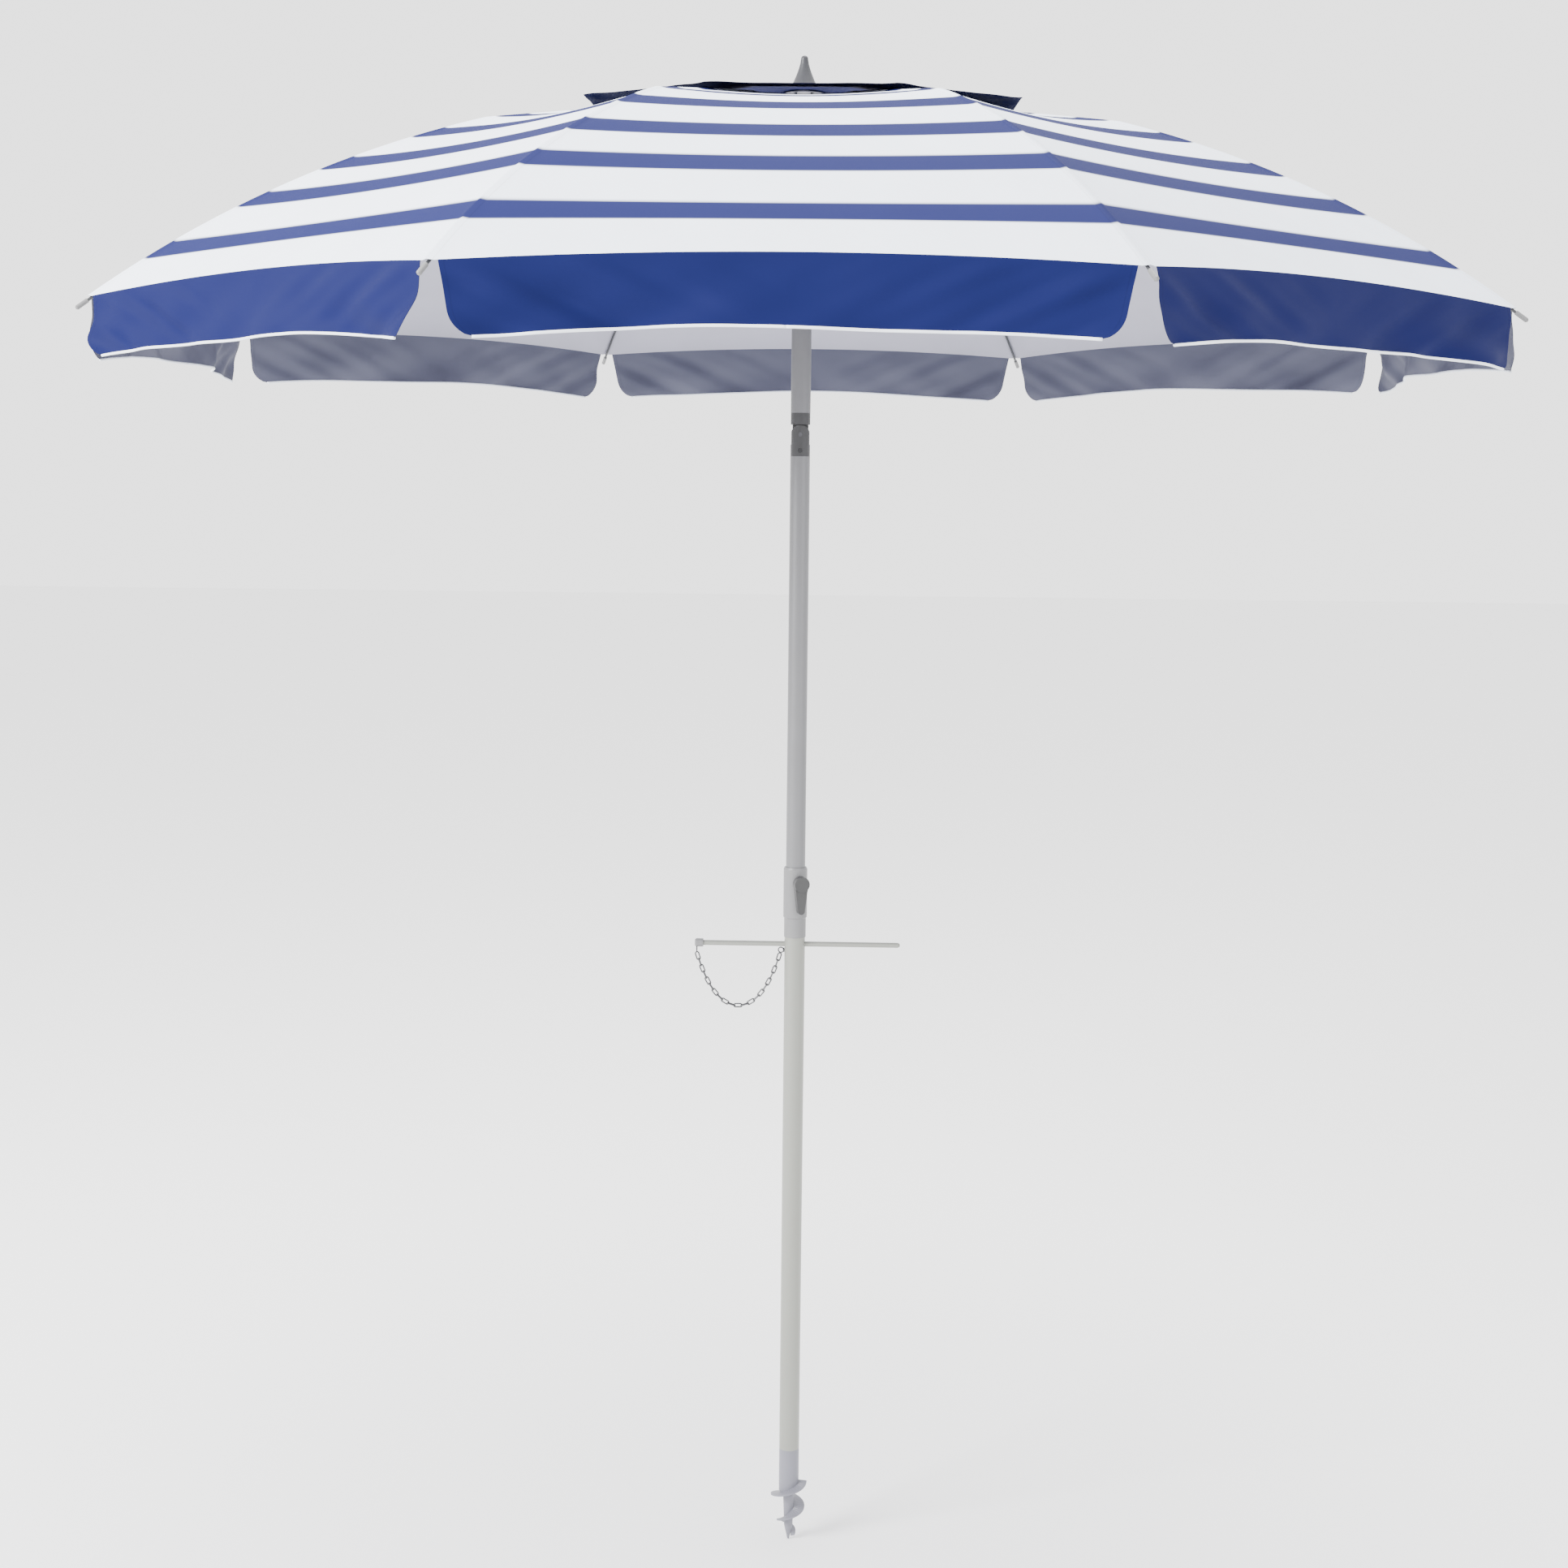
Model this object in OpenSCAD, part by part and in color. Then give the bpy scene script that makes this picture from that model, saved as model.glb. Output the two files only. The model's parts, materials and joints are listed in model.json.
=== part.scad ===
// Beach umbrella: two-piece pole with a sand auger, crossbar on a chain, clamp collar,
// push-button tilt joint, and an eight-rib vented canopy that folds down its runner.
// Origin at the auger's tip, +Z up the pole. The front of the canopy faces -Y.

/* [Canopy] */
// Distance from the pole's axis to the canopy's corners
canopy_r = 1030; // [850:5:1300]
// Height of the rib hinges above the canopy's rim
rib_rise = 332; // [240:2:420]
// Height of the canopy's rim above the auger's tip
rim_z = 1929; // [1880:1:2350]
// Drop of the valance flaps below the rim
valance_h = 82; // [50:1:120]
// Thickness of the coated canopy cloth with its seams
cloth_t = 1.2; // [0.8:0.1:2]
// Radius of the vent opening, measured along a rib
vent_r = 180; // [120:5:260]
// Radius of the vent cap, measured along a rib
cap_r = 340; // [280:5:420]
// Air gap between the canopy and the edge of the vent cap
cap_gap = 8; // [1:0.5:12]

/* [Ribs and stretchers] */
// Diameter of a rib rod
rib_d = 4; // [3:0.1:6]
// Diameter of a stretcher rod
stretcher_d = 5; // [4:0.1:7]
// Distance along the canopy's radius to the stretcher pivots
pivot_r = 515; // [420:5:620]
// Distance from the stretcher pivots inwards to the bend where the ribs' straight part ends
bend_back = 35; // [25:1:80]
// Drop from a rib's centre line to its stretcher pivot
clip_drop = 9; // [8:0.5:14]
// Diameter of the hinge pins in the hub and on the rib clips
pin_d = 3; // [2:0.1:3.6]
// Radius of the circle of rib hinges in the hub
hinge_r = 25; // [24:0.5:32]
// Radius of the circle of stretcher pivots in the runner
runner_pivot_r = 28; // [27:0.5:36]
// Height of the runner's pivots above the canopy's rim
runner_up = 65; // [50:1:110]

/* [Poles] */
// Outside diameter of the lower pole
lower_d = 32; // [30:0.5:40]
// Wall of both pole tubes
tube_wall = 0.9; // [0.7:0.05:1.5]
// Radial clearance of the upper pole in the lower pole
pole_gap = 0.1; // [0.05:0.01:0.3]
// Height of the tilt joint's pin above the auger's tip
tilt_z = 1767; // [1700:1:1790]
// Length of the tilt joint between the two tubes
tilt_len = 65; // [60:1:90]
// Diameter of the tilt joint's pin
tilt_pin_d = 6; // [4:0.5:8]
// Diameter of the tilt joint's push button
button_d = 8; // [6:0.5:9]
// Travel of the tilt joint's push button
button_travel = 2.5; // [1.5:0.1:3]

/* [Collar and crossbar] */
// Height of the clamp collar's lower edge
collar_z = 1023; // [1000:1:1060]
// Length of the clamp collar
collar_h = 80; // [70:1:100]
// Wall of the clamp collar around the lower pole
collar_wall = 2.5; // [2:0.25:6]
// Diameter of the clamp screw
screw_d = 6; // [5:0.5:8]
// Length of the clamp knob's lever from its screw
lever_len = 42; // [34:1:60]
// Height of the crossbar through the lower pole
bar_z = 981; // [950:1:990]
// Diameter of the crossbar
bar_d = 8; // [6:0.5:10]
// Length of the crossbar
bar_len = 320; // [260:5:400]
// Diameter of the crossbar's safety chain over its links
chain_d = 6; // [4:0.5:8]

/* [Auger] */
// Length of the auger below the lower pole
auger_len = 155; // [130:1:200]
// Pitch of the auger's flight
flight_pitch = 44; // [35:1:60]
// Radius of the auger's flight at its top
flight_r = 29; // [20:0.5:34]
// Height at which the auger's shank ends and its cone starts
shank_z = 84; // [70:1:110]

/* [Finial] */
// Height of the finial above the vent cap
finial_h = 52; // [30:1:70]
// Diameter of the finial's foot
finial_d = 46; // [28:1:60]

/* [Hidden] */
$fn = 48;

// Clearances
fit = 0.02;         // radial, a pressed or fixed pin
running = 0.05;     // radial, a pin that turns
loose = 0.3;        // between moving faces
seat = 0.1;         // between a plug and its tube
cloth_gap = 0.8;    // between a rib and the cloth over it

// Ribs: a straight inner part to the bend, then an arc that falls to the rim
rib_count = 8;
half_gore = 180 / rib_count;
hub_z = rim_z + rib_rise;
arc_r = (pow(canopy_r - hinge_r, 2) + pow(rib_rise, 2)) / (2 * rib_rise);
tip_a = asin((canopy_r - hinge_r) / arc_r);
pivot_a = asin((pivot_r - hinge_r) / arc_r);
bend_r = pivot_r - bend_back;
bend_a = asin((bend_r - hinge_r) / arc_r);
inner_a = bend_a / 2;                   // fall of the straight part, the chord of the same arc
inner_len = 2 * arc_r * sin(inner_a);
pivot_x = hinge_r + (arc_r - clip_drop) * sin(pivot_a);
pivot_z = hub_z - arc_r + (arc_r - clip_drop) * cos(pivot_a);
eye_d = pin_d + 5;
eye_t = rib_d + 0.4;
slot_w = eye_t + 2 * loose;
tip_in = 0.6;                           // from the cloth's corner to the rib's tip cap
tip_over = 20;

// Stretchers
runner_z = rim_z + runner_up;
stretch_x = pivot_x - runner_pivot_r;
stretch_z = pivot_z - runner_z;
stretch_len = norm([stretch_x, stretch_z]);
stretch_a = atan2(stretch_z, stretch_x);
arm_t = 2.4;
trunnion_len = 9;

// Tubes
upper_d = lower_d - 2 * tube_wall - 2 * pole_gap;
upper_bore = upper_d - 2 * tube_wall;
lower_bore = lower_d - 2 * tube_wall;
slide_r = upper_d / 2 + 0.2;            // bore of what slides on the upper pole
knuckle_r = upper_d / 2 - 0.2;
middle_top = tilt_z - tilt_len / 2;
mast_bottom = tilt_z + tilt_len / 2;
mast_top = hub_z + 5;
collar_step = 45;                       // height of the lower tube's end in the collar
tube_top = collar_z + collar_step;
collar_d = lower_d + 2 * collar_wall;
middle_bottom = bar_z + bar_d / 2 + 15;
bar_left = -156;
eyelet_z = bar_z - bar_d / 2 - 5.8;
bar_hole = bar_d / 2 + loose;

// Tilt joint
cheek_r = 14.5;
tongue_r = 12;
tongue_w = 10;
body_gap = 15;                          // from the pin to either knuckle's body
button_z = (middle_top + tilt_z - body_gap) / 2;
pocket_y = 5;

// Hub, runner and cap
hub_r = hinge_r + 7;
hub_top = hub_z + 6.5;
washer_t = 1.5;
cap_z = hub_top + washer_t + loose;
stud_d = 8;
finial_z = cap_z + cloth_t + loose;
runner_r = runner_pivot_r + 6;
sleeve_r = runner_pivot_r - eye_d / 2 - 2.5;
runner_bottom = runner_z - 26;
catch_w = 8;

// Clamp knob, on the front right of the collar
knob_turn = 20;
knob_z = collar_z + 57;
boss_r = collar_d / 2 + 4;
knob_hub_d = 24;
knob_t = 11;

// Rows of canopy cloth inside and outside the ribs' bend, and on the slope of the vent cap
inner_rows = 4;
outer_rows = 13;
cap_rows = 4;
cap_flat = hub_r - 6;                   // radius at which the vent cap leaves the washer
seam_gap = 0.15;                        // from a section's edge to the gore's middle
notch = 38;                             // half of the gap between flaps at the hem
notch_top = 10;                         // half of the gap between flaps at the rim

// Chain: a catenary from the crossbar's ring to the pole's eyelet
ring_x = bar_left + 3;
eyelet_x = -lower_d / 2 - 5.5;
chain_mid = (ring_x + eyelet_x - 1.5) / 2;
chain_half = (eyelet_x - 1.5 - ring_x) / 2;
chain_c = 34 * chain_half / 65;         // scale of the catenary: a smaller one hangs deeper
chain_top = bar_z - bar_d / 2 - 12;
chain_steps = 24;

function chain_z(x) = let (t = (x - chain_mid) / chain_c, h = chain_half / chain_c)
    chain_top + chain_c * (exp(t) + exp(-t) - exp(h) - exp(-h)) / 2;
function chain_point(u) =
    let (h = chain_half / chain_c, v = u * (exp(h) - exp(-h)) / 2, x = ln(v + sqrt(v * v + 1)))
    [chain_mid + chain_c * x, chain_z(chain_mid + chain_c * x)];
function along_rib(a, off) = [
    hinge_r + (arc_r + off) * sin(a), hub_z - arc_r + (arc_r + off) * cos(a)
];
function cloth_z(r, off) = let (reach = max(r - hinge_r, 0)) min(
    hub_z + off / cos(inner_a) - reach * tan(inner_a),
    hub_z - arc_r + sqrt(pow(arc_r + off, 2) - pow(reach, 2)));
function spaced(from, to, count) = [for (i = [0:count]) from + (to - from) * i / count];

module on_rib(a, off = 0) {
    p = along_rib(a, off);
    translate([p[0], 0, p[1]]) rotate([0, a, 0]) children();
}

module at_rib(i) {
    rotate([0, 0, half_gore + 2 * half_gore * (i - 1) - 90]) children();
}

module ring(outer, inner, h) {
    difference() {
        cylinder(r = outer, h = h);
        translate([0, 0, -1]) cylinder(r = inner, h = h + 2);
    }
}

module torus(r, wire) {
    rotate_extrude() translate([r, 0]) circle(d = wire);
}

// A thin closed solid between two grids of points with the same rows and columns
module shell(low, high) {
    rows = len(low);
    cols = len(low[0]);
    n = rows * cols;
    points = concat([for (row = low) for (p = row) p], [for (row = high) for (p = row) p]);
    function at(i, j) = i * cols + j;
    under = [for (i = [0:rows - 2]) for (j = [0:cols - 2]) for (t = [
        [at(i, j), at(i + 1, j), at(i, j + 1)],
        [at(i, j + 1), at(i + 1, j), at(i + 1, j + 1)]]) t];
    over = [for (t = under) [t[0] + n, t[2] + n, t[1] + n]];
    edge = concat(
        [for (j = [0:cols - 1]) at(0, j)], [for (i = [1:rows - 1]) at(i, cols - 1)],
        [for (j = [cols - 2:-1:0]) at(rows - 1, j)], [for (i = [rows - 2:-1:1]) at(i, 0)]);
    m = len(edge);
    walls = [for (k = [0:m - 1]) for (t = [
        [edge[k], edge[(k + 1) % m], edge[(k + 1) % m] + n],
        [edge[k], edge[(k + 1) % m] + n, edge[k] + n]]) t];
    polyhedron(points, concat(under, over, walls));
}

// A point on a section's cloth: r along the rib, s from -1 to 1 across to the gore's middle
function section_point(r, s, z) =
    let (reach = max(0, 1 - seam_gap / (r * sin(half_gore))))
    [r * (1 - abs(s) * reach * pow(sin(half_gore), 2)),
     r * s * reach * sin(half_gore) * cos(half_gore), z];

function section_grid(radii, height) = [
    for (r = radii) [for (s = [-1, -0.5, 0, 0.5, 1]) section_point(r, s, height(r))]
];

module auger() {
    steps = 32;
    flight_top = shank_z + 14;
    flight_low = 8;
    turns = (flight_top - flight_low) / flight_pitch;
    rings = round(turns * steps);
    color("lightsteelblue") union() {
        rotate_extrude() polygon([
            [0, 0], [1.5, 0], [7, 24], [9, shank_z - 8], [lower_d / 2, shank_z],
            [lower_d / 2, auger_len], [lower_bore / 2 - seat, auger_len],
            [lower_bore / 2 - seat, auger_len + 40], [0, auger_len + 40]]);
        flight(rings, turns, flight_low, flight_top);
    }
}

// Helical flight: each ring is a wedge, thick at the core and thin at its edge
module flight(rings, turns, low, top) {
    function edge_r(t) = 11 + (flight_r - 11) * min(1, t * 1.6);
    function corner(t, r, z) = [r * cos(-360 * turns * (1 - t)), r * sin(-360 * turns * (1 - t)), z];
    points = [for (i = [0:rings]) let (t = i / rings, z = low + (top - low) * t)
        for (c = [[4, -3.5], [4, 3.5], [edge_r(t), 1.2], [edge_r(t), -1.2]]) corner(t, c[0], z + c[1])];
    sides = [for (i = [0:rings - 1]) for (k = [0:3]) let (a = 4 * i + k, b = 4 * i + (k + 1) % 4)
        for (f = [[a, a + 4, b], [b, a + 4, b + 4]]) f];
    last = 4 * rings;
    ends = [[0, 1, 2], [0, 2, 3], [last, last + 2, last + 1], [last, last + 3, last + 2]];
    polyhedron(points, concat(sides, ends));
}

module lower_tube() {
    color("ivory") difference() {
        translate([0, 0, auger_len]) ring(lower_d / 2, lower_bore / 2, tube_top - auger_len);
        translate([0, 0, bar_z]) rotate([0, 90, 0]) cylinder(r = bar_hole, h = 60, center = true);
        translate([-lower_d, 0, eyelet_z]) rotate([0, 90, 0]) cylinder(r = 1.5 + seat, h = lower_d);
        translate([0, 0, collar_z + 20]) rotate([-90, 0, 0]) cylinder(r = 2 + seat, h = lower_d);
    }
}

module collar() {
    skirt = 30;
    color("silver") difference() {
        union() {
            translate([0, 0, collar_z - skirt]) cylinder(d = lower_d + 2, h = skirt + 1);
            translate([0, 0, collar_z]) rotate_extrude() polygon([
                [0, 0], [collar_d / 2 - 1.5, 0], [collar_d / 2, 1.5], [collar_d / 2, collar_h - 3],
                [collar_d / 2 - 1.5, collar_h], [0, collar_h]]);
            knob_frame() cylinder(d = screw_d + 10, h = boss_r);
        }
        translate([0, 0, collar_z - skirt - 1]) cylinder(r = lower_d / 2 + seat, h = tube_top - collar_z + skirt + 1);
        cylinder(r = slide_r, h = collar_z + collar_h + 1);
        knob_frame() cylinder(r = screw_d / 2 + running, h = boss_r + 1);
        translate([0, 0, collar_z + 20]) rotate([-90, 0, 0]) cylinder(r = 2 + seat, h = collar_d);
    }
}

// Frame of the clamp screw: its axis points out of the collar along +Z
module knob_frame() {
    translate([0, 0, knob_z]) rotate([0, 0, knob_turn]) rotate([90, 0, 0]) children();
}

module collar_screw() {
    color("gray") translate([0, 0, collar_z + 20]) rotate([-90, 0, 0]) {
        translate([0, 0, slide_r]) cylinder(r = 2, h = collar_d / 2 - slide_r + 0.5);
        translate([0, 0, collar_d / 2 + seat]) cylinder(d1 = 8, d2 = 5, h = 2);
    }
}

module clamp_knob() {
    color("dimgray") knob_frame() difference() {
        union() {
            translate([0, 0, boss_r + loose]) cylinder(d = knob_hub_d, h = knob_t);
            translate([0, 0, boss_r + loose]) linear_extrude(knob_t - 3) polygon([
                [-knob_hub_d / 2 + 1, 0], [-5.5, -lever_len], [5.5, -lever_len], [knob_hub_d / 2 - 1, 0]]);
            translate([0, -lever_len, boss_r + loose]) cylinder(r = 5.5, h = knob_t - 3);
        }
        cylinder(r = screw_d / 2 + fit, h = boss_r + loose + knob_t - 3);
    }
}

module clamp_screw() {
    color("silver") knob_frame() translate([0, 0, slide_r + 0.2])
        cylinder(r = screw_d / 2, h = boss_r + knob_t - 3 - slide_r);
}

module chain_eyelet() {
    color("silver") union() {
        translate([-lower_d / 2 - 2, 0, eyelet_z]) rotate([0, 90, 0]) cylinder(r = 1.5, h = 8);
        translate([-lower_d / 2 - 1.5, 0, eyelet_z]) rotate([0, 90, 0]) cylinder(r = 3.5, h = 1.3);
        translate([eyelet_x, 0, eyelet_z]) rotate([90, 0, 0]) torus(4, 2);
    }
}

// The chain's envelope: a tube along its route in the plane of the crossbar
module chain() {
    n = chain_steps + 1;
    sides = 8;
    route = [for (i = [0:chain_steps]) chain_point(2 * i / chain_steps - 1)];
    function way(i) = route[min(i + 1, n - 1)] - route[max(i - 1, 0)];
    function side(i) = [-way(i)[1], way(i)[0]] / norm(way(i));
    points = [for (i = [0:n - 1]) for (k = [0:sides - 1]) let (a = 360 * k / sides)
        [route[i][0] + side(i)[0] * cos(a) * chain_d / 2, sin(a) * chain_d / 2,
         route[i][1] + side(i)[1] * cos(a) * chain_d / 2]];
    tube = [for (i = [0:n - 2]) for (k = [0:sides - 1])
        let (a = i * sides + k, b = i * sides + (k + 1) % sides)
        for (f = [[a, b, a + sides], [b, b + sides, a + sides]]) f];
    ends = [[for (k = [sides - 1:-1:0]) k], [for (k = [0:sides - 1]) (n - 1) * sides + k]];
    color("silver") polyhedron(points, concat(tube, ends));
}

module crossbar() {
    color("gainsboro") translate([bar_left + 6, 0, bar_z]) rotate([0, 90, 0]) union() {
        cylinder(d = bar_d, h = bar_len - 9);
        translate([0, 0, bar_len - 9]) cylinder(d1 = bar_d, d2 = bar_d - 4, h = 3);
    }
}

module crossbar_cap() {
    color("lightgray") difference() {
        translate([bar_left, 0, bar_z]) rotate([0, 90, 0]) difference() {
            union() {
                cylinder(d1 = bar_d + 2, d2 = bar_d + 5, h = 2);
                translate([0, 0, 2]) cylinder(d = bar_d + 5, h = 11);
            }
            translate([0, 0, 6 - seat]) cylinder(r = bar_d / 2 + fit, h = 20);
        }
        ring_path(2.4);
    }
}

module crossbar_ring() {
    color("silver") ring_path(1.6);
}

module ring_path(wire) {
    translate([ring_x, 0, bar_z - bar_d / 2 - 5.5]) rotate([0, 90, 0]) torus(4.5, wire);
}

module middle_tube() {
    color("darkgray") translate([0, 0, middle_bottom])
        ring(upper_d / 2, upper_bore / 2, middle_top - middle_bottom);
}

module middle_plug() {
    color("dimgray") union() {
        translate([0, 0, middle_bottom - 3]) cylinder(d1 = upper_d - 3, d2 = upper_d - 0.4, h = 3);
        translate([0, 0, middle_bottom]) cylinder(r = upper_bore / 2 - seat, h = 18);
    }
}

module tilt_lower_knuckle() {
    color("dimgray") difference() {
        union() {
            translate([0, 0, middle_top - 30]) cylinder(r = upper_bore / 2 - seat, h = 31);
            translate([0, 0, middle_top]) cylinder(r = knuckle_r, h = tilt_z - body_gap - middle_top);
            intersection() {
                translate([0, 0, tilt_z - body_gap - 1]) cylinder(r = knuckle_r, h = 2 * body_gap);
                translate([0, 0, tilt_z]) cheek_outline();
                cheeks();
            }
        }
        translate([0, 0, tilt_z]) rotate([90, 0, 0])
            cylinder(r = tilt_pin_d / 2 + fit, h = 2 * upper_d, center = true);
        translate([0, -pocket_y, button_z]) rotate([90, 0, 0])
            cylinder(r = button_d / 2 + running, h = upper_d);
    }
}

module cheek_outline() {
    rotate([90, 0, 0]) cylinder(r = cheek_r, h = 2 * upper_d, center = true);
    translate([-upper_d, -upper_d, -2 * body_gap]) cube([2 * upper_d, 2 * upper_d, 2 * body_gap]);
}

module cheeks() {
    inner = tongue_w / 2 + loose;
    for (side = [0, 180]) rotate([0, 0, side])
        translate([-upper_d, inner, tilt_z - 2 * body_gap]) cube([2 * upper_d, upper_d, 4 * body_gap]);
}

module tilt_upper_knuckle() {
    color("dimgray") difference() {
        union() {
            translate([0, 0, mast_bottom - 1]) cylinder(r = upper_bore / 2 - seat, h = 31);
            translate([0, 0, tilt_z + body_gap]) cylinder(r = knuckle_r, h = mast_bottom - tilt_z - body_gap);
            intersection() {
                translate([0, 0, tilt_z - tongue_r]) cylinder(r = knuckle_r - 1, h = 2 * body_gap);
                tongue();
            }
        }
        translate([0, 0, tilt_z]) rotate([90, 0, 0])
            cylinder(r = tilt_pin_d / 2 + running, h = upper_d, center = true);
    }
}

module tongue() {
    translate([0, 0, tilt_z]) rotate([90, 0, 0]) cylinder(r = tongue_r, h = tongue_w, center = true);
    translate([-tongue_r, -tongue_w / 2, tilt_z]) cube([2 * tongue_r, tongue_w, body_gap + 1]);
}

module tilt_pin() {
    color("silver") translate([0, 0, tilt_z]) rotate([90, 0, 0])
        cylinder(r = tilt_pin_d / 2, h = 2 * knuckle_r - 1.6, center = true);
}

module tilt_button() {
    color("black") intersection() {
        translate([0, -knuckle_r + 7, button_z]) rotate([90, 0, 0]) cylinder(d = button_d, h = 8);
        translate([0, 0, button_z - button_d]) cylinder(r = knuckle_r - 0.2, h = 2 * button_d);
    }
}

module tilt_spring() {
    wire = 0.7;
    deep = knuckle_r - 7 - pocket_y - wire - 0.3;
    color("silver") for (k = [0:2])
        translate([0, -pocket_y - 0.15 - wire / 2 - k * deep / 2, button_z]) rotate([90, 0, 0])
            torus(button_d / 2 - 1, wire);
}

module mast_tube() {
    color("darkgray") difference() {
        translate([0, 0, mast_bottom]) ring(upper_d / 2, upper_bore / 2, mast_top - mast_bottom);
        translate([-catch_w / 2 - loose, -upper_d, runner_bottom - 24]) cube([catch_w + 2 * loose, upper_d, 24]);
    }
}

// Spring latch: a bent strip that reaches out through the mast under the runner
module runner_catch() {
    back = upper_bore / 2 - 2;
    out = upper_d / 2 + 3.2;
    color("silver") translate([-catch_w / 2, 0, runner_bottom]) rotate([90, 0, 90])
        linear_extrude(catch_w) polygon([
            [-back, -45], [-back - 1, -45], [-back - 1, -23], [-out, -4], [-out, -0.5],
            [-out + 1, -0.5], [-out + 1, -4], [-back, -23]]);
}

module hub() {
    color("white") difference() {
        translate([0, 0, hub_z - 9]) rotate_extrude() polygon([
            [0, 0], [hub_r - 3, 0], [hub_r, 3], [hub_r, hub_top - hub_z + 7],
            [hub_r - 2, hub_top - hub_z + 9], [0, hub_top - hub_z + 9]]);
        translate([0, 0, hub_z - 10]) cylinder(r = upper_d / 2 + fit, h = mast_top - hub_z + 10 + 0.1);
        cylinder(r = stud_d / 2 + seat, h = hub_top + 1);
        for (i = [1:rib_count]) at_rib(i) {
            translate([hinge_r - eye_d / 2 - loose, -slot_w / 2, hub_z - 10])
                cube([hub_r, slot_w, 10 + eye_d / 2 + loose]);
            translate([hinge_r, 0, hub_z]) rotate([90, 0, 0])
                cylinder(r = pin_d / 2 + fit, h = 12.2, center = true);
        }
    }
}

module hub_pins() {
    color("silver") for (i = [1:rib_count]) at_rib(i)
        translate([hinge_r, 0, hub_z]) rotate([90, 0, 0]) cylinder(r = pin_d / 2, h = 12, center = true);
}

module hub_washer() {
    color("silver") translate([0, 0, hub_top]) ring(hub_r - 8, stud_d / 2 + seat, washer_t);
}

module finial_stud() {
    color("silver") translate([0, 0, mast_top + 0.3])
        cylinder(d = stud_d, h = finial_z + 16 - mast_top);
}

module finial() {
    r = finial_d / 2;
    color("dimgray") translate([0, 0, finial_z]) difference() {
        rotate_extrude() polygon(concat(
            [[0, 0], [r - 1, 0], [r, 1.5], [r, 4], [r - 3, 6]],
            [for (k = [0:6]) let (t = k / 6) [5.5 + (r - 9) * pow(1 - t, 1.4), 7 + (finial_h - 13) * t]],
            [for (a = [15:15:75]) [5.5 * cos(a), finial_h - 5.5 + 5.5 * sin(a)]],
            [[0, finial_h]]));
        translate([0, 0, -1]) cylinder(r = stud_d / 2 + fit, h = 18);
    }
}

module runner() {
    color("white") difference() {
        union() {
            translate([0, 0, runner_z - 20]) cylinder(r = sleeve_r, h = 40);
            translate([0, 0, runner_z - 8]) cylinder(r = runner_r, h = 20);
        }
        cylinder(r = slide_r, h = 2 * hub_z);
        for (i = [1:rib_count]) at_rib(i)
            translate([sleeve_r - 0.01, -trunnion_len / 2 - loose, runner_z - 10])
                cube([runner_r, trunnion_len + 2 * loose, 24]);
    }
}

module runner_grip() {
    color("dimgray") translate([0, 0, runner_bottom]) difference() {
        rotate_extrude() polygon([
            [0, 0], [sleeve_r + 1, 0], [sleeve_r + 3, 2], [sleeve_r + 3, 9], [sleeve_r + 2, 10],
            [0, 10]]);
        translate([0, 0, -1]) cylinder(r = slide_r, h = 12);
        translate([0, 0, 6 - seat]) cylinder(r = sleeve_r + seat, h = 20);
    }
}

// Straight rod and arc, joined in a crimped sleeve at the bend
module rib() {
    start = 3;
    sleeve = 5;
    end = tip_a + (tip_over - 6) / arc_r * 180 / PI;
    color("dimgray") difference() {
        union() {
            translate([hinge_r, 0, hub_z]) rotate([0, 90 + inner_a, 0]) translate([0, 0, start])
                cylinder(d = rib_d, h = inner_len - start);
            translate([hinge_r, 0, hub_z - arc_r]) rotate([90, 0, 0]) rotate([0, 0, 90 - end])
                rotate_extrude(angle = end - bend_a) translate([arc_r, 0]) circle(d = rib_d);
            on_rib(bend_a) rotate([0, 90 - inner_a / 2, 0])
                cylinder(d = rib_d + 0.6, h = sleeve, center = true);
            translate([hinge_r, 0, hub_z]) rotate([90, 0, 0]) cylinder(d = eye_d, h = eye_t, center = true);
        }
        translate([hinge_r, 0, hub_z]) rotate([90, 0, 0])
            cylinder(r = pin_d / 2 + running, h = 2 * eye_t, center = true);
    }
}

// Clip that hangs the stretcher under the rib, and the cap on the rib's tip
module rib_fittings() {
    color("dimgray") on_rib(pivot_a) difference() {
        union() {
            rotate([0, 90, 0]) cylinder(d = rib_d + 4, h = 14, center = true);
            translate([-eye_d / 2, -eye_t / 2, -clip_drop]) cube([eye_d, eye_t, clip_drop]);
            translate([0, 0, -clip_drop]) rotate([90, 0, 0]) cylinder(d = eye_d, h = eye_t, center = true);
            translate([0, 0, -clip_drop]) rotate([90, 0, 0])
                cylinder(r = pin_d / 2, h = eye_t + 2 * arm_t + 2, center = true);
        }
        rotate([0, 90, 0]) cylinder(r = rib_d / 2 + seat, h = 40, center = true);
        translate([-10, -10, 0.4 * rib_d / 2]) cube(20);
    }
    color("black") on_rib(tip_a) rotate([0, 90, 0]) difference() {
        union() {
            translate([0, 0, tip_in]) cylinder(d = rib_d + 2.4, h = tip_over - tip_in - 2);
            translate([0, 0, tip_over - 2]) cylinder(d1 = rib_d + 2.4, d2 = rib_d - 1, h = 2);
        }
        translate([0, 0, -1]) cylinder(r = rib_d / 2 + seat, h = tip_over - 2.5);
    }
}

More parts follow.
